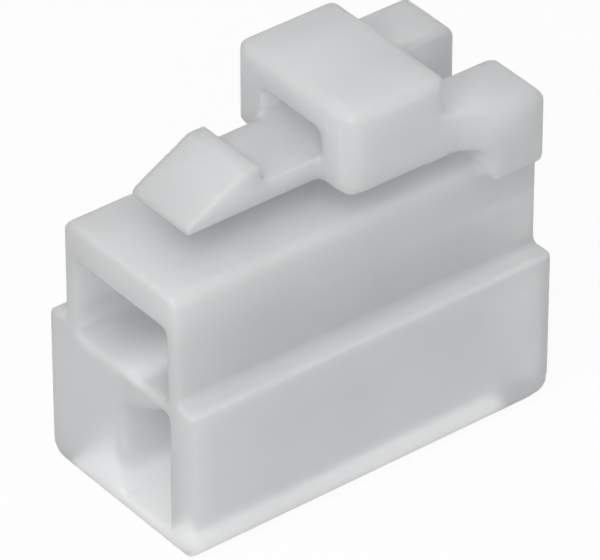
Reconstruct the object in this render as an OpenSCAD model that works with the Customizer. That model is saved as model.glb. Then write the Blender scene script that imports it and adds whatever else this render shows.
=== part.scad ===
// Two-way receptacle housing for tab terminals, moulded in one piece of natural nylon.
// The mating face looks along -X, the wires leave along +X and the latch lever is on top.

/* [Chambers] */
// Width of the upper chamber, which lies flat
upper_slot_w = 8.2; // [7.4:0.1:9]
// Height of the upper chamber at the mating face
upper_slot_h = 4.9; // [4.7:0.05:6]
// Width of the lower chamber, which stands upright
lower_slot_w = 4.45; // [4.3:0.05:4.8]
// Height of the lower chamber at its tall side
lower_slot_h = 8.05; // [7.4:0.05:8.4]
// Sideways offset of the lower chamber from the middle of the housing
lower_slot_shift = 2; // [1.6:0.1:2.4]
// Fall of the lower chamber's roof from its tall side to its short side
roof_fall = 2.5; // [1:0.1:2.8]
// Setback of the lower chamber's roof behind the mating face
roof_setback = 0.2; // [0.1:0.05:0.6]
// Rounding of the chambers' inner corners
slot_r = 0.35; // [0.1:0.05:0.45]
// Lead-in on the front edge of the upper chamber's floor
lead_in = 0.35; // [0.1:0.05:0.4]

/* [Locking lances] */
// Depth of the roomy front part of both chambers
front_depth = 8.4; // [7.6:0.1:9.5]
// Free length of each lance
lance_l = 4; // [3:0.1:4.4]
// Thickness of each lance
lance_t = 0.6; // [0.4:0.05:0.7]
// Width of each lance
lance_w = 3; // [2:0.1:3.4]
// Height of the bump at each lance's tip
lance_bump = 0.35; // [0.2:0.05:0.5]
// Room that each lance has to bend away from a passing terminal
lance_room = 0.6; // [0.5:0.05:0.7]

/* [Wire entries] */
// Length of the funnel round each wire entry
funnel_l = 1; // [0.6:0.1:1.6]
// Spread of the funnel on each side
funnel_flare = 0.3; // [0.2:0.05:0.4]

/* [Body] */
// Length from the mating face to the wire face
body_l = 25; // [24:0.5:30]
// Thickness of the floor under the lower chamber
floor_t = 0.85; // [0.7:0.05:1.2]
// Least thickness of the wall between the chambers
divider_t = 0.45; // [0.4:0.05:1]
// Thickness of the deck over the upper chamber
deck_t = 2.3; // [1.8:0.05:2.6]
// Thickness of the walls beside the upper chamber
side_t = 0.9; // [0.75:0.05:1.4]
// Width of the ledge on each side, where the lower body steps out
ledge_w = 1.5; // [1:0.1:2]
// Height of the ledges above the bottom
ledge_h = 9.8; // [9.4:0.1:11.5]

/* [Latch lever] */
// Gap between the deck and the underside of the lever
lever_gap = 1.65; // [1.1:0.05:1.9]
// Distance from the mating face to the end of that gap
gap_l = 20.9; // [20.4:0.1:22]
// Radius at the end of that gap, where the lever grows out of the deck
gap_r = 1.3; // [0.6:0.1:1.4]
// Width of the lever's arm
arm_w = 5.1; // [4.2:0.1:6.4]
// Thickness of the lever's arm
arm_t = 1.4; // [1.2:0.05:1.9]
// Distance from the mating face to the nose of the hook
nose_x = 2.8; // [1.5:0.05:3.6]
// Height of the hook's blunt nose
nose_h = 0.45; // [0.35:0.05:1]
// Length of the hook's ramp
ramp_l = 3.75; // [3:0.05:4.2]
// Length of the crest behind the ramp
crest_l = 1.3; // [1:0.05:1.6]
// Height of the catch above the arm
catch_h = 1.1; // [0.9:0.05:1.5]
// Rounding of the crest's two edges
crest_r = 0.3; // [0.1:0.05:0.45]

/* [Press pad] */
// Distance from the mating face to the press pad
pad_x = 11.6; // [11:0.1:12.8]
// Length of the press pad
pad_l = 7; // [5.6:0.1:7.4]
// Width of the press pad
pad_w = 10.2; // [9:0.1:10.6]
// Height of the press pad above the underside of the lever
pad_h = 5.2; // [4.6:0.05:6]
// Rounding of the press pad's top edges
pad_r = 0.95; // [0.4:0.05:1.2]
// Rounding of the press pad's upright edges
pad_upright_r = 1.1; // [0.4:0.05:1.3]
// Rounding of the press pad's lower edges
pad_lower_r = 0.2; // [0.1:0.05:0.5]
// Height of the notch where the arm runs in under the press pad
notch_h = 1.75; // [1:0.05:2]
// Rounding of the notch's upper corners
notch_r = 0.5; // [0.2:0.1:0.8]
// Depth of that notch
notch_d = 1.8; // [1:0.1:2.4]

/* [Guard ears] */
// Overall width across the two ears
ears_w = 12.1; // [11.4:0.1:12.8]
// Width of the opening between the ears
ear_opening = 3.5; // [2.6:0.1:4.2]
// Height of the ears above the deck
ear_h = 4.25; // [3.8:0.05:4.6]
// Setback of the ears in front of the wire face
ear_inset = 0.4; // [0.1:0.1:0.8]
// Rounding of the ears' outer top edges
ear_r = 1.1; // [0.5:0.05:1.3]
// Rounding of the ears' other edges
ear_edge_r = 0.6; // [0.2:0.05:0.8]
// Rounding of the ears' top edges at the wire end
ear_end_r = 1.3; // [0.8:0.1:2]
// Length along which the ears flare out from the press pad's width
flare_l = 2; // [1:0.1:2]
// Drop of the ears' outer wings below the deck
wing_drop = 0.65; // [0.4:0.05:1.2]

/* [Edges] */
// Rounding of the long bottom edges
bottom_r = 1.1; // [0.6:0.1:1.6]
// Rounding of the bottom edge at the wire face
heel_r = 2.2; // [0.8:0.1:2.4]
// Rounding of the wire face's upright edges
upright_r = 0.65; // [0.3:0.1:1]
// Rounding of the ledges' long edges
ledge_r = 0.3; // [0.1:0.05:0.5]
// Rounding of the ledges' edges at the wire face
ledge_end_r = 0.45; // [0.1:0.05:0.7]
// Rounding of the deck's edges
deck_r = 0.75; // [0.3:0.05:0.9]
// Rounding of the mating face's edges
front_r = 0.2; // [0.1:0.05:0.3]

/* [Hidden] */
$fn = 48;
past = 1;
joined = 0.5;

upper_w = upper_slot_w + 2 * side_t;
body_w = upper_w + 2 * ledge_w;
lower_top = floor_t + lower_slot_h;
upper_floor = lower_top + divider_t;
upper_top = upper_floor + upper_slot_h;
deck_h = upper_top + deck_t;
lever_z = deck_h + lever_gap;
arm_top = lever_z + arm_t;
ear_top = deck_h + ear_h;
ear_end = body_l - ear_inset;
entry_h = upper_slot_h - lance_room - lance_t;
entry_w = lower_slot_w - lance_room - lance_t;
lower_side = lower_slot_shift + lower_slot_w / 2;

// Rectangle from the origin with a radius for each corner, counterclockwise from the origin
module round_rect(w, h, r) {
    corners = [[0, 0], [w, 0], [w, h], [0, h]];
    along = [[1, 0], [0, 1], [-1, 0], [0, -1]];
    polygon([for (i = [0:3]) each r[i] > 0
        ? [corners[i] - r[i] * along[(i + 3) % 4], corners[i] + r[i] * along[i]]
        : [corners[i]]]);
    for (i = [0:3])
        if (r[i] > 0)
            translate(corners[i] + r[i] * (along[i] - along[(i + 3) % 4])) circle(r[i]);
}

// A front view (y, z) drawn out along x
module along_x(length) rotate([90, 0, 90]) linear_extrude(length) children();

// A side view (x, z) drawn out along y, centred
module along_y(width) translate([0, width / 2, 0]) rotate([90, 0, 0]) linear_extrude(width) children();

// Block that stands on z = 0 and starts at x = 0, with radii for the edges along x, y and z
module soft_block(length, width, height, rx, ry, rz) {
    intersection() {
        along_x(length) translate([-width / 2, 0]) round_rect(width, height, rx);
        along_y(width) round_rect(length, height, ry);
        linear_extrude(height) translate([0, -width / 2]) round_rect(length, width, rz);
    }
}

module lower_body() {
    soft_block(body_l, body_w, ledge_h,
        [bottom_r, bottom_r, ledge_r, ledge_r],
        [front_r, heel_r, ledge_end_r, front_r],
        [front_r, upright_r, upright_r, front_r]);
}

module upper_body() {
    soft_block(body_l, upper_w, deck_h,
        [0, 0, deck_r, deck_r],
        [front_r, heel_r, deck_r, front_r],
        [front_r, upright_r, upright_r, front_r]);
}

// Flared mouth, with its small end at x = 0 and its wide end at x = funnel_l
module funnel(w, h) {
    flare = [[-joined, 0], [0, 0], [funnel_l, funnel_flare], [funnel_l + past, funnel_flare]];
    function widened(span) = concat(
        [for (p = flare) [p[0], -p[1]]],
        [for (i = [3:-1:0]) [flare[i][0], span + flare[i][1]]]);
    intersection() {
        translate([0, 0, -past]) linear_extrude(h + 2 * past) translate([0, -w / 2]) polygon(widened(w));
        along_y(w + 2 * past) polygon(widened(h));
    }
}

// Flat chamber for the terminal that lies across the housing
module upper_chamber() {
    translate([0, 0, upper_floor]) {
        translate([-past, 0, 0]) along_x(front_depth + past) translate([-upper_slot_w / 2, 0])
            round_rect(upper_slot_w, upper_slot_h, slot_r * [1, 1, 1, 1]);
        translate([front_depth - joined, 0, 0]) along_x(body_l) translate([-upper_slot_w / 2, 0])
            round_rect(upper_slot_w, entry_h, slot_r * [1, 1, 1, 1]);
        translate([body_l - funnel_l, 0, 0]) funnel(upper_slot_w, entry_h);
        along_y(upper_slot_w - 2 * slot_r)
            polygon([[-past, -lead_in - past], [lead_in + joined, joined], [-past, joined]]);
    }
}

// Upright chamber with a roof that falls towards the middle of the housing
module lower_chamber() {
    translate([0, -lower_side, floor_t]) {
        translate([roof_setback, 0, 0]) along_x(front_depth - roof_setback)
            polygon([[0, 0], [lower_slot_w, 0], [lower_slot_w, lower_slot_h - roof_fall], [0, lower_slot_h]]);
        translate([-past, 0, 0]) along_x(past + roof_setback) square([lower_slot_w, lower_slot_h]);
        translate([front_depth - joined, 0, 0]) along_x(body_l)
            round_rect(entry_w, lower_slot_h - roof_fall / 2, slot_r * [1, 1, 1, 1]);
        translate([body_l - funnel_l, entry_w / 2, 0]) funnel(entry_w, lower_slot_h - roof_fall / 2);
    }
}

// Springy tongue that points to the mating face and hangs at z = 0, with its root at x = 0
module lance() {
    along_y(lance_w) polygon([
        [joined, 0], [0, 0], [-lance_l + lance_t, -lance_bump], [-lance_l, 0],
        [-lance_l, lance_t], [-lance_t, lance_t], [0, 2 * lance_t], [joined, 2 * lance_t]]);
}

module lances() {
    translate([front_depth, 0, upper_floor + entry_h]) lance();
    translate([front_depth, entry_w - lower_side, floor_t + (lower_slot_h - roof_fall) / 2])
        rotate([-90, 0, 0]) lance();
}

// Side view of the arm and its hook, from the nose to under the press pad
module arm_profile() {
    rise = arm_t + catch_h;
    slope = atan2(rise - nose_h, ramp_l);
    run = crest_r * tan(slope / 2);
    polygon([
        [0, 0], [0, nose_h],
        [ramp_l - run * cos(slope), rise - run * sin(slope)], [ramp_l + run, rise],
        [ramp_l + crest_l - crest_r, rise], [ramp_l + crest_l, rise - crest_r],
        [ramp_l + crest_l, arm_t],
        [pad_x - nose_x + notch_d + joined, arm_t], [pad_x - nose_x + notch_d + joined, 0]]);
    translate([ramp_l + run, rise - crest_r]) circle(crest_r);
    translate([ramp_l + crest_l - crest_r, rise - crest_r]) circle(crest_r);
}

module lever() {
    translate([nose_x, 0, lever_z]) along_y(arm_w) arm_profile();
    difference() {
        translate([pad_x, 0, lever_z])
            soft_block(pad_l, pad_w, pad_h, [pad_lower_r, pad_lower_r, pad_r, pad_r],
                [pad_lower_r, 0, pad_r, pad_r], pad_upright_r * [1, 1, 1, 1]);
        translate([pad_x - past, 0, arm_top])
            soft_block(notch_d + past, arm_w, notch_h,
                [0, 0, notch_r, notch_r], [0, 0, notch_h / 2, 0], [0, 0, 0, 0]);
    }
}

// The ear on the +Y side: it carries the lever from behind the press pad, flares out and grips the deck
module ear() {
    start = pad_x + pad_l - pad_upright_r - joined;
    width = (ears_w - ear_opening) / 2;
    intersection() {
        linear_extrude(ear_top) difference() {
            translate([start, ear_opening / 2])
                round_rect(ear_end - start, width, [0, ear_edge_r, ear_edge_r, 0]);
            polygon([[start - past, pad_w / 2], [gap_l - flare_l, pad_w / 2], [gap_l, ears_w / 2],
                [gap_l, ears_w / 2 + past], [start - past, ears_w / 2 + past]]);
        }
        along_x(body_l) translate([ear_opening / 2, 0]) round_rect(width, ear_top, [0, 0, ear_r, ear_edge_r]);
        translate([0, ears_w / 2, 0]) along_y(ears_w) difference() {
            translate([start, deck_h - wing_drop])
                round_rect(ear_end - start, ear_h + wing_drop, [0, ear_edge_r, ear_end_r, 0]);
            translate([start - past, lever_z - body_l])
                round_rect(gap_l - start + past, body_l, [0, 0, gap_r, 0]);
        }
    }
}

module ears() {
    ear();
    mirror([0, 1, 0]) ear();
}

module housing() {
    color("gainsboro") translate([-body_l / 2, 0, 0]) {
        difference() {
            union() {
                lower_body();
                upper_body();
            }
            upper_chamber();
            lower_chamber();
        }
        lances();
        lever();
        ears();
    }
}

housing();
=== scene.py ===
import bpy, math
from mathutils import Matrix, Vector

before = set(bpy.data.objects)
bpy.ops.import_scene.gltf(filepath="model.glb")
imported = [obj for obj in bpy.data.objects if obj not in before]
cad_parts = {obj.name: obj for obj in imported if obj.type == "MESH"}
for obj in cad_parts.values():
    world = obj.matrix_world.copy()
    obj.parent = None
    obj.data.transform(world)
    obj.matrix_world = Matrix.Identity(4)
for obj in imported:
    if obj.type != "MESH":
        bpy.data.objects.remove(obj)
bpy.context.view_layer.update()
print("frame loaded")

camera = {
    "azimuth": -37.98,  # degrees from straight in front, towards the mating face
    "elevation": 35.86,  # degrees above the floor
    "distance": 0.35686,  # a long lens from well back
    "target": (0.0, 0.0, 0.0082),
    "lens": 391.19,
    "sensor": 36.0,
    "shiftX": -0.00534,
    "shiftY": 0.0385,
    "nearest": 0.01,
    "farthest": 10.0,
}


def addCamera():
    a, e = math.radians(camera["azimuth"]), math.radians(camera["elevation"])
    back = Vector((math.sin(a) * math.cos(e), -math.cos(a) * math.cos(e), math.sin(e)))
    data = bpy.data.cameras.new("camera")
    data.lens = camera["lens"]
    data.sensor_width = camera["sensor"]
    data.shift_x, data.shift_y = camera["shiftX"], camera["shiftY"]
    data.clip_start, data.clip_end = camera["nearest"], camera["farthest"]
    obj = bpy.data.objects.new("camera", data)
    bpy.context.scene.collection.objects.link(obj)
    obj.location = Vector(camera["target"]) + back * camera["distance"]
    obj.rotation_euler = back.to_track_quat("Z", "Y").to_euler()
    bpy.context.scene.camera = obj


addCamera()
print("camera set")

# natural nylon: milky, partly clear, with a very fine skin
nylon = {
    "colour": (0.83, 0.84, 0.85),
    "cloudShade": 0.03,  # how much the colour wanders
    "cloudScale": 180.0,
    "cloudDetail": 3.0,
    "cloudFrom": 0.3,
    "cloudTo": 0.7,
    "roughness": 0.5,
    "index": 1.53,
    "subsurface": 1.0,
    "radius": (1.0, 1.0, 1.0),
    "scale": 0.004,  # how far light spreads inside
    "clearness": 0.4,
    "grainScale": 6000.0,
    "grainDetail": 2.0,
    "grainStrength": 0.12,
    "grainDepth": 0.00001,
}


def shade(colour, by):
    return tuple(c * by for c in colour) + (1.0,)


def addNoise(nodes, links, place, scale, detail):
    noise = nodes.new("ShaderNodeTexNoise")
    noise.inputs["Scale"].default_value = scale
    noise.inputs["Detail"].default_value = detail
    links.new(place.outputs["Object"], noise.inputs["Vector"])
    return noise.outputs["Fac"]


def makeNylon():
    mat = bpy.data.materials.new("milky nylon")
    mat.use_nodes = True
    nodes, links = mat.node_tree.nodes, mat.node_tree.links
    shader = nodes["Principled BSDF"]
    shader.inputs["Roughness"].default_value = nylon["roughness"]
    shader.inputs["Subsurface Weight"].default_value = nylon["subsurface"]
    shader.inputs["Subsurface Radius"].default_value = nylon["radius"]
    shader.inputs["Subsurface Scale"].default_value = nylon["scale"]
    shader.inputs["IOR"].default_value = nylon["index"]
    shader.inputs["Transmission Weight"].default_value = nylon["clearness"]
    place = nodes.new("ShaderNodeTexCoord")

    cloud = addNoise(nodes, links, place, nylon["cloudScale"], nylon["cloudDetail"])
    tint = nodes.new("ShaderNodeValToRGB")
    dark, light = tint.color_ramp.elements
    dark.position, light.position = nylon["cloudFrom"], nylon["cloudTo"]
    dark.color = shade(nylon["colour"], 1 - nylon["cloudShade"])
    light.color = shade(nylon["colour"], 1 + nylon["cloudShade"])
    links.new(cloud, tint.inputs["Fac"])
    links.new(tint.outputs["Color"], shader.inputs["Base Color"])

    grain = addNoise(nodes, links, place, nylon["grainScale"], nylon["grainDetail"])
    relief = nodes.new("ShaderNodeBump")
    relief.inputs["Strength"].default_value = nylon["grainStrength"]
    relief.inputs["Distance"].default_value = nylon["grainDepth"]
    links.new(grain, relief.inputs["Height"])
    links.new(relief.outputs["Normal"], shader.inputs["Normal"])
    return mat


softening = {
    "voxel": 0.00022,
    "smoothTimes": 4,
    "smoothFactor": 0.5,
}


def dressHousing():
    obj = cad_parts["housing"]
    obj.data.materials.clear()
    obj.data.materials.append(makeNylon())
    remesh = obj.modifiers.new("even skin", "REMESH")
    remesh.mode = "VOXEL"
    remesh.voxel_size = softening["voxel"]
    remesh.use_smooth_shade = True
    smooth = obj.modifiers.new("soft edges", "SMOOTH")
    smooth.factor = softening["smoothFactor"]
    smooth.iterations = softening["smoothTimes"]


dressHousing()
print("housing dressed")

# white paper under an even sky, one large lamp above and one small lamp in front
studio = {
    "sky": 0.5,
    "paperSize": 1.2,
    "paperWhite": 0.9,
    "paperRoughness": 0.95,
    "paperGlow": 0.93,  # the rest of the paper's look is lit, and keeps the shadow
    "lamps": {
        "overhead": {"at": (-0.10, -0.10, 0.50), "size": 0.45, "power": 0.3},
        "front": {"at": (-0.087, -0.061, 0.116), "size": 0.12, "power": 0.12},
    },
}


def addLamp(name, lamp):
    data = bpy.data.lights.new(name, "AREA")
    data.size = lamp["size"]
    data.energy = lamp["power"]
    obj = bpy.data.objects.new(name, data)
    bpy.context.scene.collection.objects.link(obj)
    obj.location = lamp["at"]
    obj.rotation_euler = Vector(lamp["at"]).to_track_quat("Z", "Y").to_euler()


def larger(nodes, links, one, other):
    pick = nodes.new("ShaderNodeMath")
    pick.operation = "MAXIMUM"
    links.new(one, pick.inputs[0])
    links.new(other, pick.inputs[1])
    return pick.outputs[0]


# 1 for what is seen directly, mirrored or through the plastic, 0 for light on the object
def seenRays(nodes, links):
    paths = nodes.new("ShaderNodeLightPath")
    direct = larger(nodes, links, paths.outputs["Is Camera Ray"], paths.outputs["Is Glossy Ray"])
    return larger(nodes, links, direct, paths.outputs["Is Transmission Ray"])


def addPaper():
    half = studio["paperSize"] / 2
    corners = [(-half, -half, 0), (half, -half, 0), (half, half, 0), (-half, half, 0)]
    mesh = bpy.data.meshes.new("paper")
    mesh.from_pydata(corners, [], [(0, 1, 2, 3)])
    paper = bpy.data.objects.new("paper", mesh)
    bpy.context.scene.collection.objects.link(paper)
    mat = bpy.data.materials.new("white paper")
    mat.use_nodes = True
    nodes, links = mat.node_tree.nodes, mat.node_tree.links
    shader = nodes["Principled BSDF"]
    shader.inputs["Base Color"].default_value = (studio["paperWhite"],) * 3 + (1.0,)
    shader.inputs["Roughness"].default_value = studio["paperRoughness"]
    shader.inputs["Specular IOR Level"].default_value = 0.0
    glow = nodes.new("ShaderNodeEmission")
    glow.inputs["Strength"].default_value = 1.0
    amount = nodes.new("ShaderNodeMath")
    amount.operation = "MULTIPLY"
    amount.inputs[1].default_value = studio["paperGlow"]
    mix = nodes.new("ShaderNodeMixShader")
    links.new(seenRays(nodes, links), amount.inputs[0])
    links.new(amount.outputs[0], mix.inputs["Fac"])
    links.new(shader.outputs["BSDF"], mix.inputs[1])
    links.new(glow.outputs["Emission"], mix.inputs[2])
    links.new(mix.outputs["Shader"], nodes["Material Output"].inputs["Surface"])
    mesh.materials.append(mat)


def lightSky():
    world = bpy.data.worlds.new("sky")
    bpy.context.scene.world = world
    world.use_nodes = True
    nodes, links = world.node_tree.nodes, world.node_tree.links
    sky = nodes["Background"]
    white = nodes.new("ShaderNodeBackground")
    for light, strength in ((sky, studio["sky"]), (white, 1.0)):
        light.inputs["Strength"].default_value = strength
        light.inputs["Color"].default_value = (1, 1, 1, 1)
    mix = nodes.new("ShaderNodeMixShader")
    links.new(seenRays(nodes, links), mix.inputs["Fac"])
    links.new(sky.outputs["Background"], mix.inputs[1])
    links.new(white.outputs["Background"], mix.inputs[2])
    links.new(mix.outputs["Shader"], nodes["World Output"].inputs["Surface"])


bpy.context.scene.view_settings.view_transform = "Standard"
for name, lamp in studio["lamps"].items():
    addLamp(name, lamp)
addPaper()
lightSky()
print("lit")
